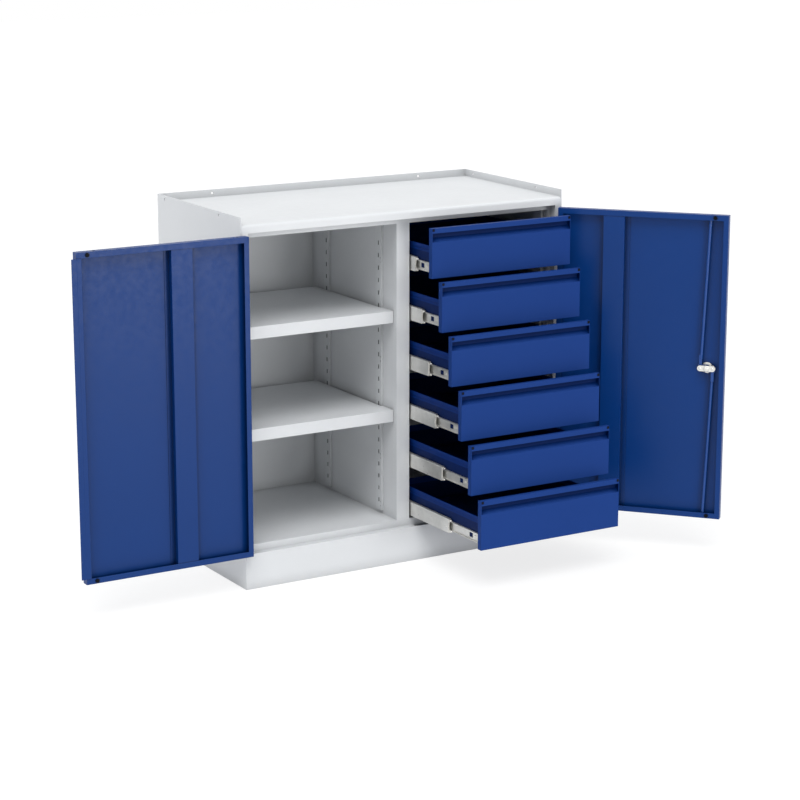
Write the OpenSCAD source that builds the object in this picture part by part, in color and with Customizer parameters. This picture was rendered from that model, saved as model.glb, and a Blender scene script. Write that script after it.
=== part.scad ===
// Low steel tool cabinet: a folded sheet carcass with a tray top and a plinth, two pan doors on
// outside barrel hinges, a left bay with two adjustable shelves and a right bay with six drawers
// on telescopic runners. The right door carries a turning handle that drives two locking rods.
//
// The model stands with the doors open and the drawers pulled out in steps.
// Origin: centre of the footprint on the floor. +X to the right, -Y to the front, +Z up.

/* [Cabinet] */
// Overall width
cab_w = 1000; // [900:10:1100]
// Overall depth of the carcass
cab_d = 500; // [490:5:560]
// Overall height
cab_h = 1000; // [960:5:1060]
// Thickness of the carcass sheet
sheet = 1.5; // [1:0.1:2]
// Height of the rim above the tray top
rim_h = 20; // [15:1:30]
// Height of the tray's front face, below the tray top
tray_face = 23; // [18:1:30]
// Outside radius of the tray's rolled front edge
roll_r = 8; // [4:1:12]
// Height of the plinth
plinth_h = 97; // [80:1:120]
// Depth of the door recess, from the front to the inner frame
recess = 24; // [23.5:0.5:27]
// Width of the side panel's front return
return_w = 21; // [20:1:26]
// Width of the inner frame post beside the return
post_w = 9; // [7:0.5:12]
// Depth of the inner frame post
post_d = 17; // [14:1:22]
// Height of the floor panel's front lip
floor_lip = 18; // [14:1:22]
// Height of the top rail that shows below the tray
rail_lip = 15; // [12:1:18]
// Width of the middle post
mullion_w = 40; // [36:1:50]
// Step of the divider's left wall behind the middle post
divider_step = 1.5; // [1:0.5:3]
// Width of the side panel's rear flange
rear_flange = 12; // [8:1:20]

/* [Rim holes] */
// Radius of the holes in the side rims
rim_hole_r = 3.5; // [2.5:0.25:4]
// Distance from the front to the front hole
rim_hole_front = 125; // [100:5:150]
// Distance between the two holes of one side
rim_hole_pitch = 330; // [300:5:340]
// Distance from a side to the hole in the rear rim
rear_hole_in = 165; // [100:5:250]
// Distance from the top edge down to the holes
rim_hole_drop = 10; // [7:0.5:12]

/* [Base frame] */
// Width of the flange that stands on the floor
base_flange = 30; // [20:1:45]
// Height of the base frame
base_h = 25; // [20:1:40]
// Thickness of the base frame
base_t = 2; // [1.5:0.5:3]

/* [Shelves] */
// Slot that the lower shelf hangs in, counted from below
lower_slot = 8; // [5:1:10]
// Slot that the upper shelf hangs in, counted from below
upper_slot = 16; // [13:1:20]
// Distance between slots
slot_pitch = 34.5; // [32:0.5:36]
// Height of the shelf's front lip
shelf_lip = 33; // [28:1:36]
// Thickness of the shelf sheet
shelf_sheet = 1.2; // [1:0.1:1.5]
// Distance from the inner frame back to the shelf's front
shelf_back = 16; // [10:1:20]
// Depth of the shelf
shelf_d = 430; // [400:5:440]
// Height of the shelf's side flanges
shelf_side = 20; // [16:1:24]
// Gap between the shelf's front lip and the posts
shelf_gap = 1; // [0.5:0.5:2]
// Width of a slotted upright
upright_w = 30; // [26:1:34]
// How far an upright stands proud of the posts' inner sides
upright_proud = 4; // [3:0.5:6]
// Distance from the inner frame back to the front uprights
upright_front = 76; // [60:1:90]
// Distance from the inner frame back to the rear uprights
upright_rear = 368; // [340:1:380]
// Width of a slot
slot_w = 6; // [5:0.5:8]
// Height of a slot
slot_h = 12; // [10:1:14]

/* [Doors] */
// Thickness of the door sheet
door_sheet = 1.2; // [1:0.1:1.5]
// Thickness of a door
door_t = 21.5; // [20:0.5:22]
// Gap above and below the doors
door_gap_z = 3; // [2:0.5:4]
// Gap between a door and the side panel's return
door_gap_x = 1; // [0.8:0.1:1.5]
// Gap between the two doors
door_gap_mid = 4; // [3:0.5:6]
// Width of the door's inner side flanges
door_flange = 14; // [12:1:18]
// Height of the door's inner end flanges
door_end_flange = 15; // [13:1:20]
// Width of the stiffener in each door
stiff_w = 59; // [50:1:70]
// Distance from the left door's hinge edge to its stiffener
left_stiff = 160; // [120:1:200]
// Distance from the right door's hinge edge to its stiffener
right_stiff = 129; // [100:1:170]
// How far the overlap strip reaches past the left door's edge
lip_reach = 14; // [10:1:16]
// Angle at which the left door stands open
left_open = 180; // [120:1:180]
// Angle at which the right door stands open
right_open = 131; // [128:1:150]
// Radius of the door bumpers
bumper_r = 5.2; // [4:0.1:5.4]
// Distance from the left door's free edge to its bumpers
left_bumper_in = 29; // [26:1:34]
// Distance from the right door's free edge to its bumpers
right_bumper_in = 37; // [34:1:40]

/* [Hinges] */
// Distance from the cabinet's side to the hinge pins
hinge_in = 15; // [14:0.5:16]
// Radius of the hinge barrels
barrel_r = 4.3; // [4:0.1:4.6]
// Gap between a barrel and the sheet behind it
barrel_gap = 0.3; // [0.2:0.1:0.5]
// Height of one half of a hinge
knuckle_h = 30; // [20:1:40]
// Radius of the hinge pins
pin_r = 2; // [1.5:0.1:2.4]
// Running clearance round the hinge pins
pin_clear = 0.05; // [0.03:0.01:0.1]
// Distance from the door's ends to the hinges
hinge_end = 90; // [60:5:140]
// Thickness of the hinge leaves
leaf_t = 1.5; // [1:0.1:2]
// Width of the hinge leaves on the doors, over the door
leaf_w = 16; // [12:1:24]
// Width of the hinge leaves on the side panels
fixed_leaf_w = 13; // [9:1:14]

/* [Lock] */
// Distance from the right door's free edge to the lock
lock_in = 50; // [46:1:56]
// Radius of the circle on which the rods are driven
crank_r = 17; // [15:0.5:18]
// Radius of the locking rods
rod_r = 4; // [3:0.25:4.5]
// Distance from the door's front to the rods' axes
rod_y = 12; // [11:0.5:12.5]
// Clearance round a rod where it leaves the door
rod_clear = 0.6; // [0.4:0.1:1]
// Radius of the crank pins
crank_pin_r = 2.5; // [2:0.25:3]
// Clearance round a crank pin in its slot
crank_clear = 0.4; // [0.3:0.1:0.8]
// Width of metal round the slots in the rod ends
eye_wall = 3.6; // [2.5:0.1:4.5]
// Thickness of a crank plate
crank_t = 2; // [1.5:0.25:2.25]
// Thickness of the flat rod ends
eye_t = 2; // [1.5:0.1:2.1]
// Gap between the layers of the lock
layer_gap = 0.3; // [0.2:0.05:0.4]
// Radius of the lock case behind the door sheet
case_r = 12; // [9:0.5:13]
// Depth of the lock case behind the door sheet
case_d = 9.8; // [8:0.2:10]
// Radius of the handle's spindle
spindle_r = 6; // [4:0.5:7]
// Length of the turning handle's bar
grip_l = 74; // [60:1:90]
// Thickness of the turning handle's bar
grip_w = 15; // [12:1:20]
// Distance from the door to the front of the handle
grip_out = 34; // [28:1:40]

/* [Drawers] */
// How far the top drawer is pulled out
first_out = 116; // [100:1:150]
// How much further out each lower drawer is
out_step = 50; // [20:1:54]
// Gap between drawer fronts
front_gap = 3; // [2:0.5:5]
// Gap between the drawer fronts and the frame at the sides
front_side = 2; // [1.5:0.5:3]
// Setback of the drawer fronts behind the inner frame's front
front_set = 2; // [1:0.5:4]
// Depth of a drawer front
front_d = 16; // [14:1:18]
// Thickness of the drawer sheet
front_sheet = 1.2; // [1:0.1:1.5]
// Height of the handle lip along the top of a front
lip_h = 13.3; // [11:0.1:16]
// Height of the finger opening below the handle lip
grasp_h = 24; // [20:0.5:26]
// Depth of the finger groove behind the front
groove_d = 11; // [9:0.5:12]
// Height of the slope at the bottom of the finger groove
groove_slope = 11; // [8:0.5:12]
// Length of a drawer box
box_l = 440; // [400:5:445]
// Height of a drawer box
box_h = 72; // [66:1:80]
// Distance from the bottom of a front up to the box
box_lift = 12; // [9:0.5:12]
// Thickness of the box sheet
box_sheet = 1; // [0.8:0.1:1.2]
// Height of the hem along the top of the box sides
hem_h = 10; // [8:1:14]

/* [Runners] */
// Distance from the right side to the wall that carries the right runners
runner_wall = 38; // [38:0.5:44]
// Space that a runner takes between its wall and the drawer box
runner_space = 12.7; // [12.5:0.1:14]
// Distance from the bottom of a front up to the runner's centre line
runner_up = 26.7; // [26.7:0.1:28]
// Height of the middle member
mid_h = 39.4; // [38:0.2:40]
// Height of the drawer member
inner_h = 25.4; // [22:0.2:27]
// Thickness of the runner sheet
runner_t = 1.2; // [1:0.1:1.4]
// Running gap between runner members
runner_gap = 0.3; // [0.2:0.1:0.5]
// Length of the cabinet member
outer_l = 435; // [420:5:440]
// Length of the middle member
mid_l = 400; // [380:5:410]
// Gap between a closed drawer front and the cabinet members
outer_gap = 1; // [0.5:0.5:3]
// Distance from a closed drawer front back to the middle members
mid_set = 38; // [20:1:40]
// Share of the drawer's way that the middle member goes
mid_share = 0.7; // [0.5:0.01:0.75]
// Width of the posts that carry the right runners
carrier_w = 40; // [30:1:50]
// Distance from the inner frame to the front runner post
carrier_front = 21; // [19:1:30]
// Distance between the two runner posts
carrier_pitch = 375; // [340:5:380]

/* [Hidden] */
$fn = 48;

light_grey = [0.84, 0.85, 0.86];
blue = [0.13, 0.24, 0.50];
zinc = [0.72, 0.71, 0.68];
black = [0.04, 0.04, 0.04];

// Cuts reach this far past the faces that they open
over = 1;

// Levels of the carcass
tray_z = cab_h - rim_h;
tray_low = tray_z - tray_face;
rail_low = tray_low - rail_lip;
floor_z = plinth_h + floor_lip;
tray_under = tray_z - sheet;

// Lines of the carcass, from the left side and from the front
back_face = cab_d - 2 * sheet;
hem_face = back_face - sheet;
post_x = return_w + post_w;
post_y = recess + post_d;
mullion_x0 = (cab_w - mullion_w) / 2;
mullion_x1 = mullion_x0 + mullion_w;
divider_x0 = mullion_x0 + divider_step;

// Shelves and uprights
shelf_y = recess + shelf_back;
clip_t = 1.2;
clip_gap = 0.3;
clip_w = 20;
clip_ledge = 10;
clip_drop = 18;
hook_drop = 30;
slot_base = floor_z + slot_pitch;
upright_end = 10;
upright_x0 = post_x + upright_proud;
upright_x1 = mullion_x0 - upright_proud;
upright_ys = [recess + upright_front, recess + upright_rear];
slot_count = floor((tray_under - upright_end - floor_z - hook_drop) / slot_pitch) - 1;
shelf_x0 = upright_x0 + clip_t + clip_gap;
shelf_x1 = upright_x1 - clip_t - clip_gap;
function shelf_z(slot) = slot_base + slot * slot_pitch;

// Doors, drawn shut: x from the left side, y from the front
door_w = (cab_w - 2 * return_w - 2 * door_gap_x - door_gap_mid) / 2;
left_x0 = return_w + door_gap_x;
left_x1 = left_x0 + door_w;
right_x1 = cab_w - left_x0;
right_x0 = right_x1 - door_w;
door_z0 = plinth_h + door_gap_z;
door_z1 = tray_low - door_gap_z;
strip_t = 1.2;
strip_gap = 0.3;
strip_on = 13;

// Hinges
pin_y = -barrel_r - barrel_gap;
hinge_zs = [door_z0 + hinge_end, door_z1 - hinge_end - 2 * knuckle_h];

// Lock
lock_x = right_x0 + lock_in;
lock_z = (door_z0 + door_z1) / 2;
rod_rise = door_z1 - lock_z;
rod_lean = atan(crank_r / rod_rise);
crank_y = door_sheet + case_d + layer_gap;
eye_1_y = crank_y + crank_t + layer_gap;
eye_2_y = eye_1_y + eye_t + layer_gap;
cover_y = eye_2_y + eye_t + layer_gap;
lobe_r = crank_pin_r + eye_wall + 2;
slot_half = crank_pin_r + crank_clear;
// The pin moves on an arc and the rod on a line: the slots hold the widest difference
arc_rise = 0.211 * crank_r;
rod_start = crank_r + lobe_r;
rod_slot_l = 47;
rod_slot_w = 2 * rod_r + 2 * rod_clear;

// Drawers: number 1 is the top one
drawer_count = 6;
front_y = recess + front_set;
bay_x0 = mullion_x1;
bay_x1 = cab_w - post_x;
front_x0 = bay_x0 + front_side;
front_x1 = bay_x1 - front_side;
pitch_z = (rail_low - floor_z) / drawer_count;
front_h = pitch_z - front_gap;
box_x0 = bay_x0 + runner_space;
box_x1 = cab_w - runner_wall - runner_space;
box_grip = 6;
function front_z(k) = floor_z + front_gap / 2 + (drawer_count - k) * pitch_z;
function out(k) = first_out + (k - 1) * out_step;
function runner_z(k) = front_z(k) + runner_up;

// Runner sections: depth from the wall, height about the centre line
outer_h = mid_h + 2 * runner_gap + 2 * runner_t;
outer_depth = 9;
mid_depth_0 = 3;
mid_depth_1 = 10.5;
inner_depth_0 = 7;
lip_low = inner_h / 2 + runner_gap;
screw_r = 2.2;
screw_spread = 12;

// ---------------------------------------------------------------- helpers

// Moves the working corner (front left on the floor) to the part's own frame
module placed() {
    translate([-cab_w / 2, -cab_d / 2, 0]) children();
}

// A box between two corners
module block(low, high) {
    translate(low) cube(high - low);
}

// A flat profile in Y and Z, drawn out along X
module along_x(x0, x1) {
    translate([x0, 0, 0]) rotate([90, 0, 90]) linear_extrude(height = x1 - x0) children();
}

// A flat profile in X and Z, drawn out along Y
module along_y(y0, y1) {
    translate([0, y1, 0]) rotate([90, 0, 0]) linear_extrude(height = y1 - y0) children();
}

// A flat profile in X and Y, drawn out along Z
module along_z(z0, z1) {
    translate([0, 0, z0]) linear_extrude(height = z1 - z0) children();
}

// The same piece on the other side of the cabinet
module other_side() {
    translate([cab_w, 0, 0]) mirror([1, 0, 0]) children();
}

// ---------------------------------------------------------------- carcass

// Side panel: outer sheet, front return with the inner frame post, rim hem and rear flange
module side_panel() {
    post_in = post_x - sheet;
    jamb_in = return_w - sheet;
    hem_x = 2 * sheet;
    color(light_grey) difference() {
        union() {
            block([0, 0, 0], [sheet, cab_d, cab_h]);
            along_z(plinth_h, tray_low) polygon([[0, 0], [return_w, 0], [return_w, recess],
                [post_x, recess], [post_x, post_y], [post_in, post_y],
                [post_in, recess + sheet], [jamb_in, recess + sheet], [jamb_in, sheet], [0, sheet]]);
            block([sheet, 0, tray_under], [hem_x, back_face, cab_h]);
            block([sheet, 0, tray_low], [hem_x, recess, tray_under]);
            block([0, cab_d - sheet, 0], [rear_flange, cab_d, cab_h]);
        }
        for (i = [0, 1])
            translate([-over, rim_hole_front + i * rim_hole_pitch, cab_h - rim_hole_drop])
                rotate([0, 90, 0]) cylinder(h = hem_x + 2 * over, r = rim_hole_r);
    }
}

// Back panel with the hem of the rear rim
module back_panel() {
    color(light_grey) difference() {
        union() {
            block([sheet, back_face, 0], [cab_w - sheet, back_face + sheet, cab_h]);
            block([2 * sheet, hem_face, tray_under], [cab_w - 2 * sheet, back_face, cab_h]);
        }
        for (x = [rear_hole_in, cab_w - rear_hole_in])
            translate([x, cab_d + over, cab_h - rim_hole_drop]) rotate([90, 0, 0])
                cylinder(h = 3 * sheet + 2 * over, r = rim_hole_r);
    }
}

// Slot through which a locking rod passes when the doors are shut
module rod_slot(z) {
    block([lock_x - rod_slot_l / 2, rod_y - rod_slot_w / 2, z - over],
        [lock_x + rod_slot_l / 2, rod_y + rod_slot_w / 2, z + sheet + over]);
}

// Tray top: plate, rolled front edge, front face and the flange above the doors
module top_tray() {
    color(light_grey) difference() {
        along_x(2 * sheet, cab_w - 2 * sheet) union() {
            translate([roll_r, tray_under]) square([hem_face - roll_r, sheet]);
            translate([roll_r, tray_z - roll_r]) intersection() {
                difference() {
                    circle(r = roll_r);
                    circle(r = roll_r - sheet);
                }
                translate([-roll_r, 0]) square([roll_r, roll_r]);
            }
            translate([0, tray_low]) square([sheet, tray_face - roll_r]);
            translate([0, tray_low]) square([recess, sheet]);
        }
        rod_slot(tray_low);
    }
}

// Top rail of the inner frame, left and right of the middle post
module top_rail() {
    rail_in = recess + sheet;
    color(light_grey) for (span = [[post_x, mullion_x0], [mullion_x1, cab_w - post_x]])
        along_x(span[0], span[1]) polygon([[recess, rail_low], [post_y, rail_low],
            [post_y, rail_low + sheet], [rail_in, rail_low + sheet], [rail_in, tray_under - sheet],
            [post_y, tray_under - sheet], [post_y, tray_under], [recess, tray_under]]);
}

// Floor panel with its front lip
module floor_panel() {
    color(light_grey) union() {
        block([sheet, post_y, floor_z - sheet], [cab_w - sheet, back_face, floor_z]);
        along_x(post_x, cab_w - post_x) polygon([[recess, plinth_h], [post_y, plinth_h],
            [post_y, plinth_h + sheet], [recess + sheet, plinth_h + sheet],
            [recess + sheet, floor_z - sheet], [post_y, floor_z - sheet], [post_y, floor_z],
            [recess, floor_z]]);
    }
}

// Plinth front: face, ledge under the doors and a rear drop
module plinth_front() {
    ledge = plinth_h - sheet;
    drop = 30;
    color(light_grey) difference() {
        along_x(sheet, cab_w - sheet) polygon([[0, 0], [sheet, 0], [sheet, ledge],
            [recess - sheet, ledge], [recess - sheet, plinth_h - drop],
            [recess, plinth_h - drop], [recess, plinth_h], [0, plinth_h]]);
        rod_slot(ledge);
    }
}

// Base frame: an angle all round inside the panels, on which the cabinet stands
module base_frame() {
    low = sheet;
    color(light_grey) difference() {
        block([low, low, 0], [cab_w - low, back_face, base_h]);
        block([low + base_t, low + base_t, base_t],
            [cab_w - low - base_t, back_face - base_t, base_h + over]);
        block([low + base_flange, low + base_flange, -over],
            [cab_w - low - base_flange, back_face - base_flange, base_t + over]);
    }
}

// Middle post of the inner frame, an open channel
module middle_post() {
    color(light_grey) along_z(floor_z, tray_low) difference() {
        translate([mullion_x0, recess]) square([mullion_w, post_d]);
        translate([mullion_x0 + sheet, recess + sheet])
            square([mullion_w - 2 * sheet, post_d]);
    }
}

// Divider: a hollow wall from the middle post to the back
module divider() {
    color(light_grey) along_z(floor_z, tray_under) difference() {
        translate([divider_x0, post_y]) square([mullion_x1 - divider_x0, back_face - post_y]);
        translate([divider_x0 + sheet, post_y + sheet])
            square([mullion_x1 - divider_x0 - 2 * sheet, back_face - post_y - 2 * sheet]);
    }
}

// Two channels that carry the right runners, inboard of the open door's corner
module runner_posts() {
    x0 = cab_w - runner_wall;
    y0 = recess + carrier_front;
    color(light_grey) for (y = [y0, y0 + carrier_pitch])
        along_z(floor_z, tray_under) difference() {
            translate([x0, y]) square([runner_wall - sheet, carrier_w]);
            translate([x0 + sheet, y + sheet])
                square([runner_wall, carrier_w - 2 * sheet]);
        }
}

// ---------------------------------------------------------------- shelves

// One slotted upright: a channel whose web faces the shelves
module upright(web_x, foot_x, y, pairs) {
    way = sign(foot_x - web_x);
    low_x = min(web_x, foot_x);
    high_x = max(web_x, foot_x);
    z0 = floor_z + upright_end;
    z1 = tray_under - upright_end;
    difference() {
        block([low_x, y, z0], [high_x, y + upright_w, z1]);
        translate([way * sheet, sheet, -over])
            block([low_x, y, z0], [high_x, y + upright_w - 2 * sheet, z1 + 2 * over]);
        for (n = [1 : slot_count])
            translate([web_x - over - sheet, y + upright_w / 2 - slot_w / 2,
                shelf_z(n) - hook_drop - slot_h / 2])
                cube([2 * sheet + 2 * over, slot_w, slot_h]);
        if (pairs)
            for (k = [1 : drawer_count], s = [-1, 1])
                translate([web_x - over, y + screw_r + 2 * sheet, runner_z(k) + s * screw_spread / 2])
                    rotate([0, 90, 0]) cylinder(h = sheet + 2 * over, r = screw_r);
    }
}

module shelf_uprights() {
    color(light_grey) for (y = upright_ys) {
        upright(upright_x0, sheet, y, false);
        upright(upright_x1, divider_x0, y, y == upright_ys[0]);
    }
}

// One shelf clip: a hook in the slot, a plate on the upright and a ledge under the shelf
module shelf_clip(face_x, way, y, z) {
    seat = z - shelf_side;
    y0 = y + upright_w / 2 - clip_w / 2;
    hook_w = slot_w - 1;
    hook_h = slot_h - 3;
    translate([face_x, 0, 0]) scale_x(way) union() {
        block([0, y0, seat - clip_drop], [clip_t, y0 + clip_w, seat]);
        block([0, y0, seat - clip_t], [clip_ledge, y0 + clip_w, seat]);
        block([-sheet - 2, y + upright_w / 2 - hook_w / 2, z - hook_drop - hook_h / 2],
            [0, y + upright_w / 2 + hook_w / 2, z - hook_drop + hook_h / 2]);
    }
}

// Turns a piece to face left where way is negative
module scale_x(way) {
    if (way < 0) mirror([1, 0, 0]) children();
    else children();
}

module shelf_clips() {
    color(zinc) for (slot = [lower_slot, upper_slot], y = upright_ys) {
        shelf_clip(upright_x0, 1, y, shelf_z(slot));
        shelf_clip(upright_x1, -1, y, shelf_z(slot));
    }
}

// A shelf: plate, front and rear lips with returns, and side flanges that stand on the clips
module shelf(slot) {
    z = shelf_z(slot);
    t = shelf_sheet;
    wide_x0 = post_x + shelf_gap;
    wide_x1 = mullion_x0 - shelf_gap;
    wing_y = recess + upright_front - shelf_gap;
    hem = 12;
    y1 = shelf_y + shelf_d;
    color(light_grey) union() {
        block([wide_x0, shelf_y, z - t], [wide_x1, wing_y, z]);
        block([shelf_x0, shelf_y, z - t], [shelf_x1, y1, z]);
        block([wide_x0, shelf_y, z - shelf_lip], [wide_x1, shelf_y + t, z]);
        block([wide_x0, shelf_y, z - shelf_lip], [wide_x1, shelf_y + hem, z - shelf_lip + t]);
        block([shelf_x0, y1 - t, z - shelf_lip], [shelf_x1, y1, z]);
        block([shelf_x0, y1 - hem, z - shelf_lip], [shelf_x1, y1, z - shelf_lip + t]);
        block([shelf_x0, wing_y - t, z - shelf_side], [shelf_x0 + t, y1, z]);
        block([shelf_x1 - t, wing_y - t, z - shelf_side], [shelf_x1, y1, z]);
    }
}

// ---------------------------------------------------------------- runners

// Runner members' sections, depth along X from the wall and height along Y
module outer_section() {
    difference() {
        translate([0, -outer_h / 2]) square([outer_depth, outer_h]);
        translate([runner_t, -outer_h / 2 + runner_t])
            square([outer_depth, outer_h - 2 * runner_t]);
    }
}

module mid_section() {
    inside = mid_h / 2 - runner_t;
    difference() {
        translate([mid_depth_0, -mid_h / 2]) square([mid_depth_1 - mid_depth_0, mid_h]);
        translate([mid_depth_0 + runner_t, -inside])
            square([mid_depth_1 - mid_depth_0 - 2 * runner_t, 2 * inside]);
        translate([mid_depth_0 + runner_t, -lip_low])
            square([mid_depth_1, 2 * lip_low]);
    }
}

module inner_section() {
    difference() {
        translate([inner_depth_0, -inner_h / 2]) square([runner_space - inner_depth_0, inner_h]);
        translate([inner_depth_0 - over, -inner_h / 2 + runner_t])
            square([runner_space - inner_depth_0 - runner_t + over, inner_h - 2 * runner_t]);
    }
}

// One member on each side of the drawer bay
module on_both_walls() {
    translate([bay_x0, 0, 0]) children();
    translate([cab_w - runner_wall, 0, 0]) mirror([1, 0, 0]) children();
}

module cabinet_runners() {
    y0 = front_y + front_d + outer_gap;
    color(zinc) for (k = [1 : drawer_count])
        on_both_walls() translate([0, 0, runner_z(k)]) along_y(y0, y0 + outer_l) outer_section();
}

module mid_runners(k) {
    y0 = front_y + front_d + mid_set;
    color(zinc) translate([0, -mid_share * out(k), runner_z(k)])
        on_both_walls() along_y(y0, y0 + mid_l) mid_section();
}

module drawer_runners(k) {
    y0 = front_y + front_d;
    window_l = 17;
    window_h = 13;
    window_set = 39;
    screw_set = 27;
    color(zinc) translate([0, -out(k), runner_z(k)])
        on_both_walls() difference() {
            along_y(y0, y0 + box_l) inner_section();
            translate([runner_space - runner_t - over, y0 + window_set, -window_h / 2])
                cube([runner_t + 2 * over, window_l, window_h]);
            translate([runner_space - runner_t - over, y0 + screw_set, 0])
                rotate([0, 90, 0]) cylinder(h = runner_t + 2 * over, r = screw_r);
        }
}

// ---------------------------------------------------------------- drawers

// Drawer front: a folded sheet with a finger groove and a handle lip along its top
module drawer_front(k) {
    t = front_sheet;
    lip_z = front_h - lip_h;
    grasp_z = lip_z - grasp_h;
    z = front_z(k);
    color(blue) translate([0, front_y - out(k), z]) union() {
        along_x(front_x0, front_x1) polygon([[front_d, 0], [0, 0], [0, grasp_z],
            [groove_d, grasp_z + groove_slope], [groove_d, front_h - t], [t, front_h - t],
            [t, lip_z], [0, lip_z], [0, front_h], [groove_d + t, front_h],
            [groove_d + t, grasp_z + groove_slope - t / 2], [t, grasp_z - t / 2], [t, t],
            [front_d, t]]);
        for (x = [front_x0, front_x1 - t])
            block([x, 0, 0], [x + t, front_d, front_h]);
        block([front_x0, front_d - t, 0], [box_x0 + box_grip, front_d, front_h - lip_h]);
        block([box_x1 - box_grip, front_d - t, 0], [front_x1, front_d, front_h - lip_h]);
    }
}

// Drawer box: an open pan with a hem along the top of each side
module drawer_box(k) {
    y0 = front_y + front_d;
    y1 = y0 + box_l;
    hem_t = 1.2;
    color(blue) translate([0, -out(k), front_z(k) + box_lift]) union() {
        difference() {
            block([box_x0, y0, 0], [box_x1, y1, box_h]);
            block([box_x0 + box_sheet, y0 + box_sheet, box_sheet],
                [box_x1 - box_sheet, y1 - box_sheet, box_h + over]);
        }
        block([box_x0 - hem_t, y0, box_h - hem_h], [box_x0, y1, box_h]);
        block([box_x1, y0, box_h - hem_h], [box_x1 + hem_t, y1, box_h]);
    }
}

// ---------------------------------------------------------------- doors

// Turns a piece that is drawn on the shut door to where the open door stands
module on_left_door() {
    translate([hinge_in, pin_y, 0]) rotate([0, 0, -left_open])
        translate([-hinge_in, -pin_y, 0]) children();
}

module on_right_door() {
    translate([cab_w - hinge_in, pin_y, 0]) rotate([0, 0, right_open])
        translate([hinge_in - cab_w, -pin_y, 0]) children();
}

// A door pan: outer sheet, four folded edges and their inner flanges
module door_pan(x0) {
    x1 = x0 + door_w;
    t = door_sheet;
    difference() {
        block([x0, 0, door_z0], [x1, door_t, door_z1]);
        block([x0 + t, t, door_z0 + t], [x1 - t, door_t - t, door_z1 - t]);
        block([x0 + door_flange, door_t - 2 * t, door_z0 + door_end_flange],
            [x1 - door_flange, door_t + over, door_z1 - door_end_flange]);
    }
}

// Round holes through the top and bottom edges of a door
module edge_holes(x, r) {
    for (z = [door_z0, door_z1 - door_sheet])
        translate([x, rod_y, z - over]) cylinder(h = door_sheet + 2 * over, r = r);
}

// Hat section along the inside of a door
module stiffener(x) {
    t = door_sheet;
    crown = door_t - t;
    foot = 12;
    z0 = door_z0 + t;
    z1 = door_z1 - t;
    color(blue) along_z(z0, z1) polygon([[x - foot, t], [x + t, t], [x + t, crown - t],
        [x + stiff_w - t, crown - t], [x + stiff_w - t, t], [x + stiff_w + foot, t],
        [x + stiff_w + foot, 2 * t], [x + stiff_w, 2 * t], [x + stiff_w, crown], [x, crown],
        [x, 2 * t], [x - foot, 2 * t]]);
}

// Plastic bumpers near a door's free edge, top and bottom
module bumpers(x) {
    reach = recess - door_t - 0.3;
    stem = door_sheet;
    color(black) for (z = [door_z0 + door_end_flange / 2, door_z1 - door_end_flange / 2])
        translate([x, door_t, z]) rotate([-90, 0, 0]) union() {
            cylinder(h = reach, r = bumper_r);
            translate([0, 0, -stem]) cylinder(h = stem, r = bumper_r / 2);
        }
}

// Holes in a door's inner flange for the bumpers' stems
module bumper_holes(x) {
    for (z = [door_z0 + door_end_flange / 2, door_z1 - door_end_flange / 2])
        translate([x, door_t + over, z]) rotate([90, 0, 0])
            cylinder(h = door_sheet + over, r = bumper_r / 2);
}

// Hinge half on a side panel, with its leaf on the front return
module hinge_bracket(z) {
    difference() {
        union() {
            translate([hinge_in, pin_y, z]) cylinder(h = knuckle_h, r = barrel_r);
            block([hinge_in - fixed_leaf_w, -leaf_t, z], [hinge_in, 0, z + knuckle_h]);
        }
        translate([hinge_in, pin_y, z - over]) cylinder(h = knuckle_h + 2 * over, r = pin_r);
    }
}

// Hinge half on a door, with its leaf on the door's face
module door_hinge(z) {
    low = z + knuckle_h + barrel_gap;
    high = z + 2 * knuckle_h;
    difference() {
        union() {
            translate([hinge_in, pin_y, low]) cylinder(h = high - low, r = barrel_r);
            block([hinge_in, -leaf_t, low], [left_x0, -barrel_gap, high]);
            block([left_x0, -leaf_t, low], [left_x0 + leaf_w, 0, high]);
        }
        translate([hinge_in, pin_y, low - over])
            cylinder(h = high - low + 2 * over, r = pin_r + pin_clear);
    }
}

module hinge_brackets() {
    color(light_grey) for (z = hinge_zs) {
        hinge_bracket(z);
        other_side() hinge_bracket(z);
    }
}

module hinge_pins() {
    color(zinc) for (z = hinge_zs, x = [hinge_in, cab_w - hinge_in])
        translate([x, pin_y, z]) cylinder(h = 2 * knuckle_h, r = pin_r);
}

module left_door_panel() {
    color(blue) on_left_door() difference() {
        door_pan(left_x0);
        edge_holes(cab_w - lock_x, rod_r + rod_clear);
        edge_holes(left_x0 + left_hang, hang_r);
        bumper_holes(left_x1 - left_bumper_in);
    }
}

// Small holes near the hinge edge, by which the doors hung for painting
left_hang = 29;
hang_r = 3;

module left_door_stiffener() {
    on_left_door() stiffener(left_x0 + left_stiff);
}

// Overlap strip: welded to the left door's inner flange and stepped behind the right door
module left_door_overlap_strip() {
    x0 = left_x1 - strip_on;
    x1 = left_x1 + lip_reach;
    color(blue) on_left_door()
        along_z(door_z0 + door_end_flange, door_z1 - door_end_flange)
            polygon([[x0, door_t], [left_x1, door_t], [left_x1 + 1, door_t + strip_gap],
                [x1, door_t + strip_gap], [x1, door_t + strip_gap + strip_t],
                [left_x1, door_t + strip_gap + strip_t], [left_x1 - 1, door_t + strip_t],
                [x0, door_t + strip_t]]);
}

module left_door_bumpers() {
    on_left_door() bumpers(left_x1 - left_bumper_in);
}

module left_door_hinges() {
    color(light_grey) on_left_door() for (z = hinge_zs) door_hinge(z);
}

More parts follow.
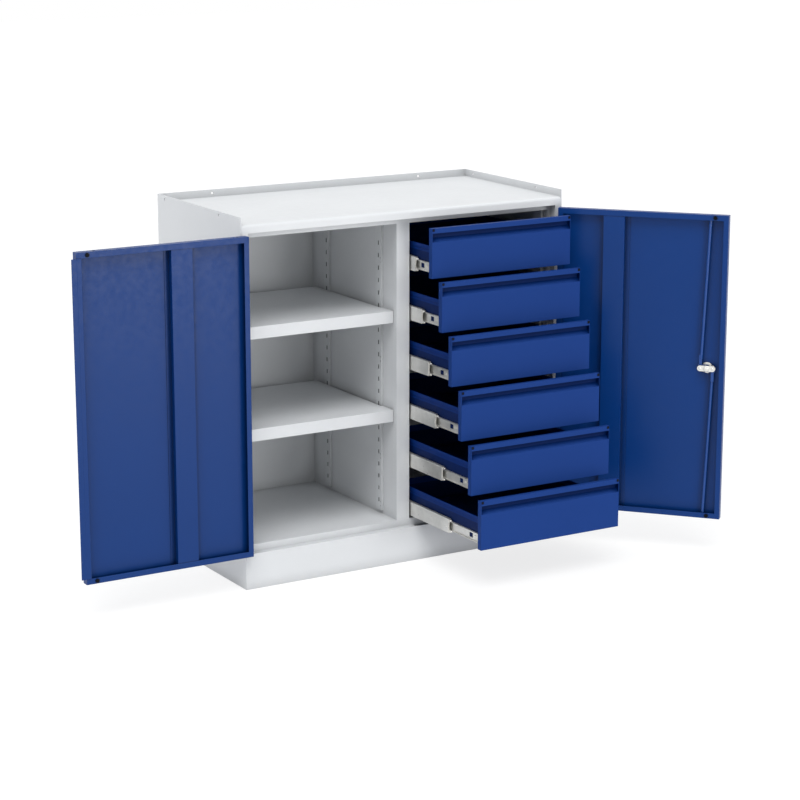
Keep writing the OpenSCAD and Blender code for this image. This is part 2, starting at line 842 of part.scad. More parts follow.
module right_door_panel() {
    color(blue) on_right_door() difference() {
        door_pan(right_x0);
        edge_holes(lock_x, rod_r + rod_clear);
        edge_holes(right_x1 - left_hang, hang_r);
        bumper_holes(right_x0 + right_bumper_in);
        translate([lock_x, -over, lock_z]) rotate([-90, 0, 0])
            cylinder(h = door_sheet + 2 * over, r = case_r);
    }
}

module right_door_stiffener() {
    on_right_door() stiffener(right_x1 - right_stiff - stiff_w);
}

module right_door_bumpers() {
    on_right_door() bumpers(right_x0 + right_bumper_in);
}

module right_door_hinges() {
    color(light_grey) on_right_door() other_side() for (z = hinge_zs) door_hinge(z);
}

// ---------------------------------------------------------------- lock

// Lock case: a rose on the door's face, a barrel through the sheet and a bush for the spindle
module lock_case() {
    rose_r = case_r + 9;
    rose_t = 3;
    color(zinc) on_right_door() translate([lock_x, 0, lock_z]) rotate([-90, 0, 0])
        difference() {
            union() {
                translate([0, 0, -rose_t]) cylinder(h = rose_t, r = rose_r);
                cylinder(h = door_sheet + case_d, r = case_r);
                translate([0, 0, door_sheet]) cylinder(h = 3, r = case_r + 3);
            }
            translate([0, 0, -rose_t - over])
                cylinder(h = rose_t + door_sheet + case_d + 2 * over, r = spindle_r + pin_clear);
        }
}

// Turning handle: a bar with round ends on its spindle, level when unlocked
module lock_handle() {
    end_r = grip_w / 2;
    bar_d = 14;
    color(black) on_right_door() translate([lock_x, 0, lock_z]) rotate([-90, 0, 0]) union() {
        translate([0, 0, -grip_out]) cylinder(h = grip_out + crank_y, r = spindle_r);
        translate([-grip_l / 2 + end_r, -end_r, -grip_out])
            cube([grip_l - grip_w, grip_w, bar_d]);
        for (s = [-1, 1])
            translate([s * (grip_l / 2 - end_r), 0, -grip_out]) cylinder(h = bar_d, r = end_r);
        translate([0, 0, -grip_out + bar_d]) cylinder(h = 6, r1 = end_r + 3, r2 = end_r);
    }
}

// A crank plate with round ends, at the given depth
module crank_plate(y) {
    translate([-crank_r, -lobe_r, y]) cube([2 * crank_r, 2 * lobe_r, crank_t]);
    for (s = [-1, 1]) translate([s * crank_r, 0, y]) cylinder(h = crank_t, r = lobe_r);
}

// Crank on the spindle's inner end: two plates joined by the pins that drive the rods
module lock_crank() {
    color(zinc) on_right_door() translate([lock_x, 0, lock_z]) rotate([-90, 0, 0]) union() {
        crank_plate(crank_y);
        crank_plate(cover_y);
        for (s = [-1, 1])
            translate([s * crank_r, 0, crank_y]) cylinder(h = cover_y - crank_y, r = crank_pin_r);
    }
}

// A locking rod drawn upwards from its crank pin, with a slotted flat end at the given depth
module rod(eye_y) {
    slot_x0 = -crank_r - slot_half;
    slot_z1 = arc_rise + slot_half;
    reach = (rod_rise - 0.2) / cos(rod_lean);
    neck = 11;
    union() {
        difference() {
            block([slot_x0 - eye_wall, eye_y, -slot_half - eye_wall],
                [slot_half + eye_wall, eye_y + eye_t, slot_z1 + eye_wall]);
            block([slot_x0, eye_y - over, -slot_half], [slot_half, eye_y + eye_t + over, slot_z1]);
        }
        block([-rod_r, eye_y, slot_z1 + eye_wall - 1],
            [rod_r, eye_y + eye_t, rod_start + neck]);
        block([-rod_r, rod_y, rod_start], [rod_r, eye_y + eye_t, rod_start + neck]);
        translate([0, rod_y, 0]) rotate([0, -rod_lean, 0])
            translate([0, 0, rod_start]) cylinder(h = reach - rod_start, r = rod_r);
    }
}

module upper_rod() {
    color(blue) on_right_door() translate([lock_x + crank_r, 0, lock_z]) rod(eye_1_y);
}

module lower_rod() {
    color(blue) on_right_door() translate([lock_x - crank_r, 0, lock_z])
        rotate([0, 180, 0]) rod(eye_2_y);
}

// ---------------------------------------------------------------- parts

placed() side_panel();  // left_side_panel
placed() other_side() side_panel();  // right_side_panel
placed() back_panel();
placed() top_tray();
placed() top_rail();
placed() floor_panel();
placed() plinth_front();
placed() base_frame();
placed() middle_post();
placed() divider();
placed() runner_posts();
placed() shelf_uprights();
placed() shelf_clips();
placed() shelf(lower_slot);  // lower_shelf
placed() shelf(upper_slot);  // upper_shelf
placed() cabinet_runners();
placed() hinge_brackets();
placed() hinge_pins();
placed() left_door_panel();
placed() left_door_stiffener();
placed() left_door_overlap_strip();
placed() left_door_bumpers();
placed() left_door_hinges();
placed() right_door_panel();
placed() right_door_stiffener();
placed() right_door_bumpers();
placed() right_door_hinges();
placed() lock_case();
placed() lock_handle();
placed() lock_crank();
placed() upper_rod();
placed() lower_rod();
placed() drawer_front(1);  // drawer_1_front
placed() drawer_box(1);  // drawer_1_box
placed() drawer_runners(1);  // drawer_1_runners
placed() mid_runners(1);  // drawer_1_mid_runners
placed() drawer_front(2);  // drawer_2_front
placed() drawer_box(2);  // drawer_2_box
placed() drawer_runners(2);  // drawer_2_runners
placed() mid_runners(2);  // drawer_2_mid_runners
placed() drawer_front(3);  // drawer_3_front
placed() drawer_box(3);  // drawer_3_box
placed() drawer_runners(3);  // drawer_3_runners
placed() mid_runners(3);  // drawer_3_mid_runners
placed() drawer_front(4);  // drawer_4_front
placed() drawer_box(4);  // drawer_4_box
placed() drawer_runners(4);  // drawer_4_runners
placed() mid_runners(4);  // drawer_4_mid_runners
placed() drawer_front(5);  // drawer_5_front
placed() drawer_box(5);  // drawer_5_box
placed() drawer_runners(5);  // drawer_5_runners
placed() mid_runners(5);  // drawer_5_mid_runners
placed() drawer_front(6);  // drawer_6_front
placed() drawer_box(6);  // drawer_6_box
placed() drawer_runners(6);  // drawer_6_runners
placed() mid_runners(6);  // drawer_6_mid_runners
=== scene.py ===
import math

import bmesh
import bpy
from mathutils import Matrix, Vector


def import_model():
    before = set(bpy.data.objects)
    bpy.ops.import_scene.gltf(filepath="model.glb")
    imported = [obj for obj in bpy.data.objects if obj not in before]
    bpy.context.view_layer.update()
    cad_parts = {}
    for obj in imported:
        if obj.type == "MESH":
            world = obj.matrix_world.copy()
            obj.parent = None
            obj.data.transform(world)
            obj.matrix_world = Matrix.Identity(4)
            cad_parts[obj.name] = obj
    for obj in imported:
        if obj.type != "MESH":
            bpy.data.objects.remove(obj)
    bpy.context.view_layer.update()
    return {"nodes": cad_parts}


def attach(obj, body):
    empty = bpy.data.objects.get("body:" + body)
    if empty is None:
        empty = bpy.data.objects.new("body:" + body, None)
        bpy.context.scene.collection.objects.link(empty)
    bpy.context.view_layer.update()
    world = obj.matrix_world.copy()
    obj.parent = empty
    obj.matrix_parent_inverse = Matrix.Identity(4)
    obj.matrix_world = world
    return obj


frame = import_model()
nodes = frame["nodes"]

# ---------------------------------------------------------------- sizes, in metres

# The working corner is the cabinet's front left one on the floor: x across, y back, z up
CAB_W, CAB_D = 1.0, 0.5

# Doors, which hang on pins in front of the sides, and the lock on the right one
HINGE_IN, PIN_Y = 0.015, -0.0046
LEFT_OPEN, RIGHT_OPEN = 180, 131
DOOR_Z0, DOOR_Z1 = 0.100, 0.954
LEAF_T, KNUCKLE_H, HINGE_END = 0.0015, 0.030, 0.090
LOCK_X, LOCK_Z = 0.552, 0.527
CRANK_R = 0.017
COVER_FACE, GRIP_FACE = 0.0202, -0.034

# Drawers, numbered from the top, each further out than the one above
DRAWERS = 6
FLOOR_Z, RAIL_Z = 0.115, 0.942
DRAWER_PITCH = (RAIL_Z - FLOOR_Z) / DRAWERS
FRONT_GAP = 0.003
FRONT_H = DRAWER_PITCH - FRONT_GAP
FIRST_OUT, OUT_STEP = 0.116, 0.050
OUTS = [FIRST_OUT + OUT_STEP * i for i in range(DRAWERS)]
FRONT_Y, FRONT_D = 0.026, 0.016
FRONT_X0, FRONT_X1 = 0.522, 0.968
BOX_LEFT, BOX_RIGHT, BOX_LIFT, BOX_SHEET = 0.5327, 0.9493, 0.012, 0.001

# Runners, whose depths are from the walls that carry them
WALL_LEFT, WALL_RIGHT = 0.520, 0.962
RUNNER_UP = 0.0267
MID_SET, MID_SHARE = 0.038, 0.7
CAGE_IN, RACE_IN, INNER_WEB_IN = 0.0045, 0.00675, 0.0115
RACE_UP = 0.0156

BACK_FACE = 0.4985

# ---------------------------------------------------------------- small helpers


def lin(r, g, b):
    """An sRGB colour, 0 to 255, as linear values."""
    def one(c):
        c /= 255
        return c / 12.92 if c <= 0.04045 else ((c + 0.055) / 1.055) ** 2.4
    return (one(r), one(g), one(b), 1)


def world(x, y, z):
    """From the working corner, front left on the floor, to the row frame."""
    return Vector((x - CAB_W / 2, y - CAB_D / 2, z))


def turn_about(x, y, degrees):
    """A turn about the upright line through a place in the working corner's terms."""
    at = world(x, y, 0)
    turn = Matrix.Rotation(math.radians(degrees), 4, "Z")
    return Matrix.Translation(at) @ turn @ Matrix.Translation(-at)


ON_LEFT = turn_about(HINGE_IN, PIN_Y, -LEFT_OPEN)
ON_RIGHT = turn_about(CAB_W - HINGE_IN, PIN_Y, RIGHT_OPEN)
STAY = Matrix.Identity(4)


def front_z(k):
    """The lower edge of drawer k's front."""
    return FLOOR_Z + FRONT_GAP / 2 + (DRAWERS - k) * DRAWER_PITCH


def drawer_y(k):
    """Where drawer k's box starts, behind its front."""
    return FRONT_Y + FRONT_D - OUTS[k - 1]


def facing(x, y, z, way):
    """A place in the working corner's terms, whose own Z points the given way."""
    turn = Vector(way).to_track_quat("Z", "Y").to_matrix().to_4x4()
    return Matrix.Translation(world(x, y, z)) @ turn


# ---------------------------------------------------------------- materials


def material(name):
    """An empty material with a Principled shader, and the piece's own coordinates."""
    m = bpy.data.materials.new(name)
    m.use_nodes = True
    tree = m.node_tree
    tree.nodes.clear()
    out = tree.nodes.new("ShaderNodeOutputMaterial")
    shader = tree.nodes.new("ShaderNodeBsdfPrincipled")
    tree.links.new(shader.outputs[0], out.inputs[0])
    coord = tree.nodes.new("ShaderNodeTexCoord").outputs["Object"]
    return m, tree, shader, coord


def noise(tree, coord, scale, detail=2.0, stretch=None):
    n = tree.nodes.new("ShaderNodeTexNoise")
    n.inputs["Scale"].default_value = scale
    n.inputs["Detail"].default_value = detail
    if stretch:
        mapping = tree.nodes.new("ShaderNodeMapping")
        mapping.inputs["Scale"].default_value = stretch
        tree.links.new(coord, mapping.inputs["Vector"])
        coord = mapping.outputs["Vector"]
    tree.links.new(coord, n.inputs["Vector"])
    return n.outputs["Fac"]


def spread(tree, value, low, high, at=(0.3, 0.7)):
    """The value's range at, spread over low to high. Noise mostly lies in the range given by default."""
    n = tree.nodes.new("ShaderNodeMapRange")
    n.inputs["From Min"].default_value = at[0]
    n.inputs["From Max"].default_value = at[1]
    n.inputs["To Min"].default_value = low
    n.inputs["To Max"].default_value = high
    tree.links.new(value, n.inputs["Value"])
    return n.outputs["Result"]


def mix(tree, fac, a, b):
    """Colour a at factor 0 and b at factor 1. Each is a colour or a node's output."""
    n = tree.nodes.new("ShaderNodeMix")
    n.data_type = "RGBA"
    tree.links.new(fac, n.inputs[0])
    for k, v in ((6, a), (7, b)):
        if isinstance(v, tuple):
            n.inputs[k].default_value = v
        else:
            tree.links.new(v, n.inputs[k])
    return n.outputs[2]


def scaled(c, k):
    return (c[0] * k, c[1] * k, c[2] * k, 1)


def edges(tree, radius):
    """The normal softened over the edges, as a bend in sheet has a small radius."""
    n = tree.nodes.new("ShaderNodeBevel")
    n.samples = 4
    n.inputs["Radius"].default_value = radius
    return n.outputs[0]


def bend_highlight_mask(tree, soft):
    """Grows from 0 on a flat face to 1 on a bend, where the softened normal leaves the true one. It
    masks the painted highlight on bends.
    """
    true = tree.nodes.new("ShaderNodeNewGeometry").outputs["Normal"]
    n = tree.nodes.new("ShaderNodeVectorMath")
    n.operation = "DOT_PRODUCT"
    tree.links.new(soft, n.inputs[0])
    tree.links.new(true, n.inputs[1])
    return spread(tree, n.outputs["Value"], 1, 0, (0.80, 0.985))


def openness(tree, reach):
    """1 in the open, less in folds, grooves and corners, near 0 behind a slot."""
    n = tree.nodes.new("ShaderNodeAmbientOcclusion")
    n.samples = 8
    n.inputs["Distance"].default_value = reach
    return n.outputs["AO"]


def bump(tree, height, strength, distance, normal=None):
    n = tree.nodes.new("ShaderNodeBump")
    n.inputs["Strength"].default_value = strength
    n.inputs["Distance"].default_value = distance
    tree.links.new(height, n.inputs["Height"])
    if normal:
        tree.links.new(normal, n.inputs["Normal"])
    return n.outputs[0]


def painted_hem_light_band(tree, tone, colour, share):
    """Paints the piece lighter above that share of its height, where the sheet is folded over: painted
    light on the lit hem, above the side in shade.
    """
    place = tree.nodes.new("ShaderNodeTexCoord").outputs["Generated"]
    up = tree.nodes.new("ShaderNodeSeparateXYZ")
    tree.links.new(place, up.inputs[0])
    band = spread(tree, up.outputs["Z"], 0, 1, (share, share + HEM_LIGHT_EDGE))
    return mix(tree, band, tone, scaled(colour, HEM_LIGHT_TONE))


# The coats' scales are in waves to the metre, their tones in shares of the paint's colour
CLOUD_SCALE, GRIT_SCALE, GLOSS_SCALE, SKIN_SCALE = 5.0, 900.0, 60.0, 650.0
CLOUD_LOW, CLOUD_HIGH = 0.975, 1.02
GRIT_TONE, GRIT_SHARE = 0.96, 0.5
SKIN_DEPTH = 0.0002
# Painted light and shade: the hem's lighter band, and the shade in recesses and slots.
HEM_LIGHT_TONE, HEM_LIGHT_EDGE = 1.9, 0.02
RECESS_SHADE_RANGE = (0.15, 0.55)
SLOT_SHADE_TONE, SLOT_SHADE_RANGE = 0.04, (0.06, 0.30)


def paint(name, colour, rough=0.42, peel=0.12, bend=0.0010, shine=0.35, nook=0.80, reach=0.012,
          bend_highlight_tone=1.25, closed=(0.42, 0.98), recess=None, hem=None, shade=None):
    """Powder coat: slight mottling, an orange peel skin, softened bends painted lighter as a highlight,
    and painted shade in nooks.

    nook is the tone of the painted shade in a nook, and reach how wide one may be. closed is the
    openness at which a nook is darkest and at which it ends, and shade the painted shade's colour where
    a darker tone of the paint is too dull.
    recess adds a wider, softer painted shade as (reach, tone), and hem a lighter band of painted light
    from that share of the piece's height up. Slots and what lies behind them are painted almost black,
    as painted shade.
    """
    m, tree, shader, coord = material(name)
    cloud = spread(tree, noise(tree, coord, CLOUD_SCALE, 3.0), 0, 1)
    tone = mix(tree, cloud, scaled(colour, CLOUD_LOW), scaled(colour, CLOUD_HIGH))
    grit = spread(tree, noise(tree, coord, GRIT_SCALE), 0, 1)
    tone = mix(tree, spread(tree, grit, 0, GRIT_SHARE), tone, scaled(colour, GRIT_TONE))
    soft = edges(tree, bend)
    # Painted highlight: bends are painted lighter than the flat faces.
    tone = mix(tree, bend_highlight_mask(tree, soft), tone, scaled(colour, bend_highlight_tone))
    # Painted light: a lighter band on the hem, above the side in shade.
    if hem:
        tone = painted_hem_light_band(tree, tone, colour, hem)
    # Painted shade: a wide, soft darkening in recesses.
    if recess:
        wide = spread(tree, openness(tree, recess[0]), 0, 1, RECESS_SHADE_RANGE)
        tone = mix(tree, wide, scaled(colour, recess[1]), tone)
    # Painted shade: nooks, grooves and corners are painted darker the less open they are.
    near = openness(tree, reach)
    tone = mix(tree, spread(tree, near, 0, 1, closed), shade or scaled(colour, nook), tone)
    # Painted shade: slots and what lies behind them are painted almost black.
    tone = mix(tree, spread(tree, near, 0, 1, SLOT_SHADE_RANGE), scaled(colour, SLOT_SHADE_TONE), tone)
    gloss = spread(tree, noise(tree, coord, GLOSS_SCALE, 4.0), rough - 0.05, rough + 0.06)
    skin = noise(tree, coord, SKIN_SCALE)
    tree.links.new(tone, shader.inputs["Base Color"])
    tree.links.new(gloss, shader.inputs["Roughness"])
    tree.links.new(bump(tree, skin, peel, SKIN_DEPTH, soft), shader.inputs["Normal"])
    shader.inputs["Specular IOR Level"].default_value = shine
    return m


def plated(name, colour, rough=0.34, bend=0.0006):
    """Zinc plated sheet: drawn lines, cloudy passivation and a dull shine."""
    m, tree, shader, coord = material(name)
    cloud = spread(tree, noise(tree, coord, 22.0, 4.0), 0, 1)
    tone = mix(tree, cloud, scaled(colour, 0.86), scaled(colour, 1.06))
    gloss = spread(tree, noise(tree, coord, 90.0, 4.0), rough - 0.07, rough + 0.1)
    drawn = noise(tree, coord, 260.0, stretch=(1.0, 0.03, 1.0))
    tree.links.new(tone, shader.inputs["Base Color"])
    tree.links.new(gloss, shader.inputs["Roughness"])
    tree.links.new(bump(tree, drawn, 0.25, 0.0001, edges(tree, bend)), shader.inputs["Normal"])
    shader.inputs["Metallic"].default_value = 0.85
    return m


def moulded(name, colour, rough=0.5):
    """Moulded plastic with a fine matt grain."""
    m, tree, shader, coord = material(name)
    cloud = spread(tree, noise(tree, coord, 40.0, 3.0), 0, 1)
    tone = mix(tree, cloud, scaled(colour, 0.85), scaled(colour, 1.2))
    gloss = spread(tree, noise(tree, coord, 300.0, 3.0), rough - 0.06, rough + 0.08)
    grain = noise(tree, coord, 1600.0)
    tree.links.new(tone, shader.inputs["Base Color"])
    tree.links.new(gloss, shader.inputs["Roughness"])
    tree.links.new(bump(tree, grain, 0.3, 0.0001, edges(tree, 0.0008)), shader.inputs["Normal"])
    shader.inputs["Specular IOR Level"].default_value = 0.10
    return m


GREY = lin(224, 226, 228)
BLUE = lin(2, 53, 119)
# Painted sheen: the drawer fronts' blue carries extra red in place of the reflection that their low
# shine leaves out.
DRAWER_BLUE_WITH_SHEEN = lin(29, 61, 128)
# Painted shade: the colour of the drawer fronts' handle groove, under the lip.
GROOVE_SHADE_BLUE = lin(0, 27, 77)
# Painted shade: the drawer boxes' blue is a darker copy of the same paint.
SHADED_BOX_BLUE = lin(6, 32, 84)
# Painted highlight: the rods' blue is a lighter copy of the doors' paint.
LIT_ROD_BLUE = lin(16, 66, 138)
# The coats' nook, closed, recess and shade values set their painted shade.
grey = paint("grey powder coat", GREY, nook=0.74, reach=0.030, bend_highlight_tone=1.10, recess=(0.10, 0.50))
blue = paint("blue powder coat", BLUE, rough=0.37, shine=0.24, nook=0.30, reach=0.020)
drawer_blue_with_sheen = paint("blue powder coat drawer fronts with painted sheen", DRAWER_BLUE_WITH_SHEEN, shine=0.05, bend=0.0007, reach=0.026,
                    closed=(0.85, 1.0), shade=GROOVE_SHADE_BLUE)
shaded_box_blue = paint("blue powder coat drawer boxes in painted shade", SHADED_BOX_BLUE, rough=0.46, shine=0.07, nook=0.4, hem=0.74)
lit_rod_blue = paint("blue powder coat rods with painted highlight", LIT_ROD_BLUE, rough=0.36, peel=0.08, shine=0.5, nook=0.4)
zinc = plated("zinc plate", lin(232, 231, 227))
bright = plated("bright zinc", lin(228, 227, 222), rough=0.30)
black = moulded("black plastic", lin(8, 10, 16))

GREY_NODES = [
    "left_side_panel", "right_side_panel", "back_panel", "top_tray", "top_rail", "floor_panel",
    "plinth_front", "base_frame", "middle_post", "divider", "runner_posts", "shelf_uprights",
    "lower_shelf", "upper_shelf", "hinge_brackets", "left_door_hinges", "right_door_hinges"]
ZINC_NODES = ["shelf_clips", "cabinet_runners", "hinge_pins"]
BRIGHT_NODES = ["lock_crank", "lock_case"]
BLACK_NODES = ["left_door_bumpers", "right_door_bumpers", "lock_handle"]


def material_of(name):
    """The material of a CAD node. What no line names is a sheet of the doors."""
    if name in GREY_NODES:
        return grey
    if name in ZINC_NODES or name.endswith("runners"):
        return zinc
    if name in BRIGHT_NODES:
        return bright
    if name in BLACK_NODES:
        return black
    if name.endswith("_box"):
        return shaded_box_blue
    if name.endswith("_rod"):
        return lit_rod_blue
    if name.startswith("drawer_"):
        return drawer_blue_with_sheen
    return blue


for name, o in nodes.items():
    o.data.materials.clear()
    o.data.materials.append(material_of(name))

# ---------------------------------------------------------------- small pieces


def turned(bm, place, profile, sides=20, cross=0.42):
    """Turns (radius, height) pairs about the place's Z. A third item True draws a cross recess."""
    rings = []
    for step in profile:
        radius, height = step[:2]
        ring = []
        for i in range(sides):
            waist = cross if len(step) > 2 and i % (sides // 4) else 1
            a = 2 * math.pi * i / sides
            point = Vector((radius * waist * math.cos(a), radius * waist * math.sin(a), height))
            ring.append(bm.verts.new(place @ point))
        rings.append(ring)
    for low, high in zip(rings, rings[1:]):
        for i in range(sides):
            j = (i + 1) % sides
            bm.faces.new((low[i], low[j], high[j], high[i]))
    bm.faces.new(rings[0])
    bm.faces.new(rings[-1])


def ball(bm, place, r):
    steps = [math.radians(a) for a in range(-84, 85, 14)]
    turned(bm, place, [(r * math.cos(a), r * math.sin(a)) for a in steps], 16)


def rivet(bm, place, r, h):
    turned(bm, place, [(r, 0), (0.96 * r, 0.35 * h), (0.72 * r, 0.8 * h), (0.3 * r, h)])


def screw(bm, place, r, h):
    """A pan head with a cross recess."""
    turned(bm, place, [(r, 0), (r, 0.4 * h), (0.88 * r, 0.8 * h), (0.66 * r, h), (0.6 * r, h, True),
                       (0.45 * r, 0.3 * h, True)])


def plate(bm, place, outline, thick):
    """A flat outline in the place's X and Y, drawn out along its Z."""
    low = [bm.verts.new(place @ Vector((x, y, 0))) for x, y in outline]
    high = [bm.verts.new(place @ Vector((x, y, thick))) for x, y in outline]
    bm.faces.new(low)
    bm.faces.new(high)
    for i in range(len(outline)):
        j = (i + 1) % len(outline)
        bm.faces.new((low[i], low[j], high[j], high[i]))


def add(name, bm, m, body, at=STAY):
    """Makes the finished mesh a piece that rides on a body."""
    bm.transform(at)
    bmesh.ops.recalc_face_normals(bm, faces=bm.faces)
    for face in bm.faces:
        face.smooth = len(face.verts) == 4
    mesh = bpy.data.meshes.new(name)
    bm.to_mesh(mesh)
    bm.free()
    o = bpy.data.objects.new(name, mesh)
    bpy.context.collection.objects.link(o)
    o.data.materials.append(m)
    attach(o, body)
    return o


def octagon(half, cut):
    """The outline of a square with its corners cut."""
    return [(-half, -half + cut), (-half + cut, -half), (half - cut, -half), (half, -half + cut),
            (half, half - cut), (half - cut, half), (-half + cut, half), (-half, half - cut)]


def walls():
    """Both sides of the drawer bay: a line at a depth from the wall, and the way off the wall."""
    return ((lambda depth: WALL_LEFT + depth, 1), (lambda depth: WALL_RIGHT - depth, -1))


def runner_z(k):
    return front_z(k) + RUNNER_UP


def ball_cages(k):
    """Ball cages that show at the front ends of the middle runner members."""
    y = FRONT_Y + FRONT_D + MID_SET - MID_SHARE * OUTS[k - 1]
    tall, tab, nose, back, thick = 0.0178, 0.0125, 0.0075, 0.060, 0.0008
    inmost, bulge = 0.0015, 0.0070
    ball_r, balls, first, apart = 0.0022, 4, -0.0082, 0.0085
    arc = [math.radians(a) for a in range(-60, 61, 15)]
    curve = [(-inmost - bulge * (1 - math.cos(a)), tab * math.sin(a) / math.sin(arc[-1])) for a in arc]
    outline = [(back, -tall), (-nose, -tall), (-nose, -tab)]
    outline += curve + [(-nose, tab), (-nose, tall), (back, tall)]
    bm = bmesh.new()
    for line, way in walls():
        turn = Matrix(((0, 0, way), (1, 0, 0), (0, 1, 0))).to_4x4()
        plate(bm, Matrix.Translation(world(line(CAGE_IN), y, runner_z(k))) @ turn, outline, thick)
        for s in (-1, 1):
            for n in range(balls):
                race = runner_z(k) + s * RACE_UP
                ball(bm, facing(line(RACE_IN), y + first + apart * n, race, (0, 1, 0)), ball_r)
    add(f"ball_cages_{k}", bm, bright, f"mid_runners_{k}")


def runner_screws(k):
    """Screws that hold the drawer members of the runners to the box."""
    bm = bmesh.new()
    for line, way in walls():
        for back in (0.027, 0.300, 0.420):
            at = facing(line(INNER_WEB_IN), drawer_y(k) + back, runner_z(k), (-way, 0, 0))
            screw(bm, at, 0.0034, 0.0019)
    add(f"runner_screws_{k}", bm, bright, f"drawer_{k}")


def drawer_rivets(k):
    """Rivets that hold the drawer's front to its box."""
    bm = bmesh.new()
    inside = drawer_y(k) + BOX_SHEET
    for share in (0.06, 0.35, 0.65, 0.94):
        x = BOX_LEFT + share * (BOX_RIGHT - BOX_LEFT)
        for up in (0.020, 0.058):
            rivet(bm, facing(x, inside, front_z(k) + BOX_LIFT + up, (0, 1, 0)), 0.0032, 0.0011)
    add(f"drawer_rivets_{k}", bm, shaded_box_blue, f"drawer_{k}")


def lip_plugs(k):
    """Small black plugs in the hem's ends, on the front of the handle lip."""
    bm = bmesh.new()
    from_end, from_top, thick = 0.0042, 0.0046, 0.0005
    outline = octagon(0.0032, 0.0008)
    for x in (FRONT_X0 + from_end, FRONT_X1 - from_end):
        at = facing(x, FRONT_Y - OUTS[k - 1], front_z(k) + FRONT_H - from_top, (0, -1, 0))
        plate(bm, at, outline, thick)
    add(f"lip_plugs_{k}", bm, black, f"drawer_{k}")


def hinge_rivets():
    """Rivets in the hinge leaves, on the side panels and on the doors."""
    on_side, on_door = 0.0062, 0.0335
    for name, at in (("left", ON_LEFT), ("right", ON_RIGHT)):
        fixed, moving = bmesh.new(), bmesh.new()
        for z in (DOOR_Z0 + HINGE_END, DOOR_Z1 - HINGE_END - 2 * KNUCKLE_H):
            for up in (0.007, 0.023):
                for bm, x, level in ((fixed, on_side, z + up), (moving, on_door, z + KNUCKLE_H + up)):
                    if name == "right":
                        x = CAB_W - x
                    rivet(bm, facing(x, -LEAF_T, level, (0, -1, 0)), 0.0022, 0.0009)
        add(f"{name}_hinge_rivets", fixed, grey, "carcass")
        add(f"{name}_door_hinge_rivets", moving, grey, f"{name}_door", at)


def lock_trim():
    """Nut, washer and pin heads on the crank, and the key plug in the handle."""
    bm = bmesh.new()
    end = facing(LOCK_X, COVER_FACE, LOCK_Z, (0, 1, 0))
    washer = [(0.0085, 0), (0.0085, 0.0007), (0.0078, 0.0009)]
    nut = [(0.0068, 0.0009), (0.0068, 0.0032), (0.0060, 0.0037)]
    spindle_end = [(0.0030, 0.0037), (0.0030, 0.0042), (0.0022, 0.0046)]
    turned(bm, end, washer, 28)
    turned(bm, end, nut, 6)
    turned(bm, end, spindle_end)
    for s in (-1, 1):
        rivet(bm, facing(LOCK_X + s * CRANK_R, COVER_FACE, LOCK_Z, (0, 1, 0)), 0.0042, 0.0014)
    add("crank_nut_and_pins", bm, bright, "lock", ON_RIGHT)
    bm = bmesh.new()
    front = facing(LOCK_X, GRIP_FACE, LOCK_Z, (0, -1, 0))
    sunk, core_r, half_slot, core_t = 0.0004, 0.0040, 0.0006, 0.0007
    rim = [(0.0064, 0), (0.0064, 0.0006), (0.0058, 0.0010), (0.0044, 0.0010), (0.0044, sunk)]
    turned(bm, front, rim, 28)
    arc = [math.radians(a) for a in range(10, 171, 16)]
    for s in (-1, 1):
        half = [(core_r * math.cos(a), s * max(half_slot, core_r * math.sin(a))) for a in arc]
        plate(bm, front @ Matrix.Translation((0, 0, sunk)), half, core_t)
    add("key_plug", bm, bright, "lock", ON_RIGHT)


def back_rivets():
    """Rivets that hold the back panel to the side panels and the divider."""
    bm = bmesh.new()
    from_side, at_divider = 0.0165, 0.510
    rows, lowest, apart = 8, 0.055, 0.125
    for x in (from_side, at_divider, CAB_W - from_side):
        for n in range(rows):
            rivet(bm, facing(x, BACK_FACE, lowest + apart * n, (0, 1, 0)), 0.0030, 0.0010)
    add("back_rivets", bm, grey, "carcass")


for k in range(1, DRAWERS + 1):
    ball_cages(k)
    runner_screws(k)
    drawer_rivets(k)
    lip_plugs(k)
hinge_rivets()
lock_trim()
back_rivets()

# ---------------------------------------------------------------- floor, light, camera

FLOOR_LIFT, FLOOR_DROP = 0.78, -0.0005
WORLD_LIGHT = 0.55
CAM_AT = world(-2.646, -5.221, 1.908)
CAM_YAW, CAM_PITCH = 30.88, -13.37
CAM_F_PIXELS, FRAME_PIXELS, SENSOR = 2300, 800, 36


def seen_directly(tree):
    """1 for camera, glossy and transmission rays, which all meet the white background."""
    path = tree.nodes.new("ShaderNodeLightPath")
    total = path.outputs["Is Camera Ray"]
    for name in ("Is Glossy Ray", "Is Transmission Ray"):
        n = tree.nodes.new("ShaderNodeMath")
        n.operation = "MAXIMUM"
        tree.links.new(total, n.inputs[0])
        tree.links.new(path.outputs[name], n.inputs[1])
        total = n.outputs[0]
    return total


def by_view(tree, out, lighting, shown):
    """One shader lights the object, and another is what the camera and reflections see."""
    pick = tree.nodes.new("ShaderNodeMixShader")
    tree.links.new(seen_directly(tree), pick.inputs[0])
    tree.links.new(lighting.outputs[0], pick.inputs[1])
    tree.links.new(shown.outputs[0], pick.inputs[2])
    tree.links.new(pick.outputs[0], out.inputs[0])


def shader_of(tree, kind, colour, strength=None):
    n = tree.nodes.new(kind)
    n.inputs[0].default_value = colour
    if strength is not None:
        n.inputs[1].default_value = strength
    return n


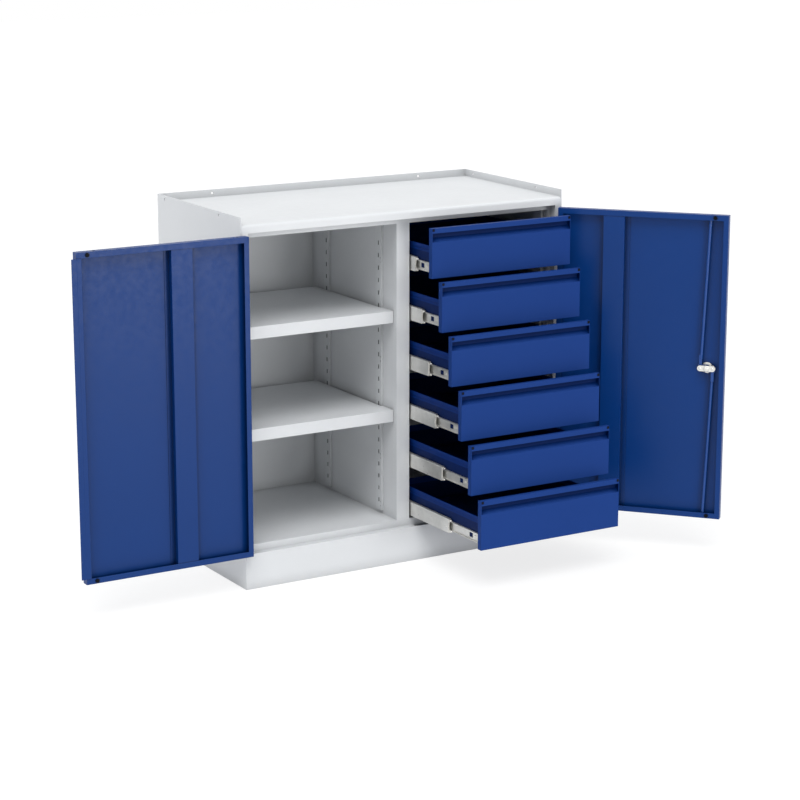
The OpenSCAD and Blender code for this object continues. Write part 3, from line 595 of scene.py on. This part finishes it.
def floor_material():
    """A pale floor, lifted to white where it is lit. The object's shadow stays on it."""
    m = bpy.data.materials.new("white floor")
    m.use_nodes = True
    tree = m.node_tree
    tree.nodes.clear()
    out = tree.nodes.new("ShaderNodeOutputMaterial")
    diffuse = shader_of(tree, "ShaderNodeBsdfDiffuse", (0.80, 0.80, 0.80, 1))
    shadowed = shader_of(tree, "ShaderNodeBsdfDiffuse", (0.28, 0.28, 0.28, 1))
    lift = shader_of(tree, "ShaderNodeEmission", (1, 1, 1, 1), FLOOR_LIFT)
    lifted = tree.nodes.new("ShaderNodeAddShader")
    tree.links.new(shadowed.outputs[0], lifted.inputs[0])
    tree.links.new(lift.outputs[0], lifted.inputs[1])
    by_view(tree, out, diffuse, lifted)
    return m


def floor():
    bm = bmesh.new()
    bmesh.ops.create_grid(bm, x_segments=1, y_segments=1, size=20)
    mesh = bpy.data.meshes.new("floor")
    bm.to_mesh(mesh)
    bm.free()
    o = bpy.data.objects.new("floor", mesh)
    o.location.z = FLOOR_DROP
    bpy.context.collection.objects.link(o)
    o.data.materials.append(floor_material())


def studio():
    """An even, slightly cool light from all around, before a white background."""
    w = bpy.data.worlds.new("studio")
    bpy.context.scene.world = w
    w.use_nodes = True
    tree = w.node_tree
    tree.nodes.clear()
    out = tree.nodes.new("ShaderNodeOutputWorld")
    light = shader_of(tree, "ShaderNodeBackground", (0.97, 0.985, 1.0, 1), WORLD_LIGHT)
    white = shader_of(tree, "ShaderNodeBackground", (1, 1, 1, 1), 1.0)
    by_view(tree, out, light, white)


def lamp(name, at, to, size, power):
    """A near area lamp that looks from one place to another."""
    data = bpy.data.lights.new(name, "AREA")
    data.shape = "RECTANGLE"
    data.size, data.size_y = size
    data.energy = power
    o = bpy.data.objects.new(name, data)
    o.location = at
    o.rotation_euler = (Vector(to) - Vector(at)).to_track_quat("-Z", "Y").to_euler()
    bpy.context.collection.objects.link(o)


def sky(name, towards, strength, degrees):
    """A far soft lamp in the given direction, which lights the floor evenly."""
    data = bpy.data.lights.new(name, "SUN")
    data.energy = strength
    data.angle = math.radians(degrees)
    o = bpy.data.objects.new(name, data)
    o.rotation_euler = Vector(towards).to_track_quat("Z", "Y").to_euler()
    bpy.context.collection.objects.link(o)


def camera():
    """Set where the photograph's edges put it, pitched a little down and with no shift."""
    data = bpy.data.cameras.new("camera")
    data.sensor_width = SENSOR
    data.lens = CAM_F_PIXELS * SENSOR / FRAME_PIXELS
    data.clip_start, data.clip_end = 0.05, 100
    o = bpy.data.objects.new("camera", data)
    o.location = CAM_AT
    o.rotation_euler = (math.radians(90 + CAM_PITCH), 0, math.radians(-CAM_YAW))
    bpy.context.collection.objects.link(o)
    return o


floor()
studio()
sky("key", (-0.32, -0.48, 0.95), 1.53, 36)
sky("top", (0.05, 0.10, 1.00), 0.30, 60)
sky("side", (-1.00, 0.35, 0.30), 0.34, 30)
lamp("door sheen", (1.35, -5.0, 0.62), (-0.72, -0.25, 1.05), (1.4, 0.9), 52.0)
bpy.context.scene.camera = camera()
bpy.context.scene.view_settings.view_transform = "Standard"
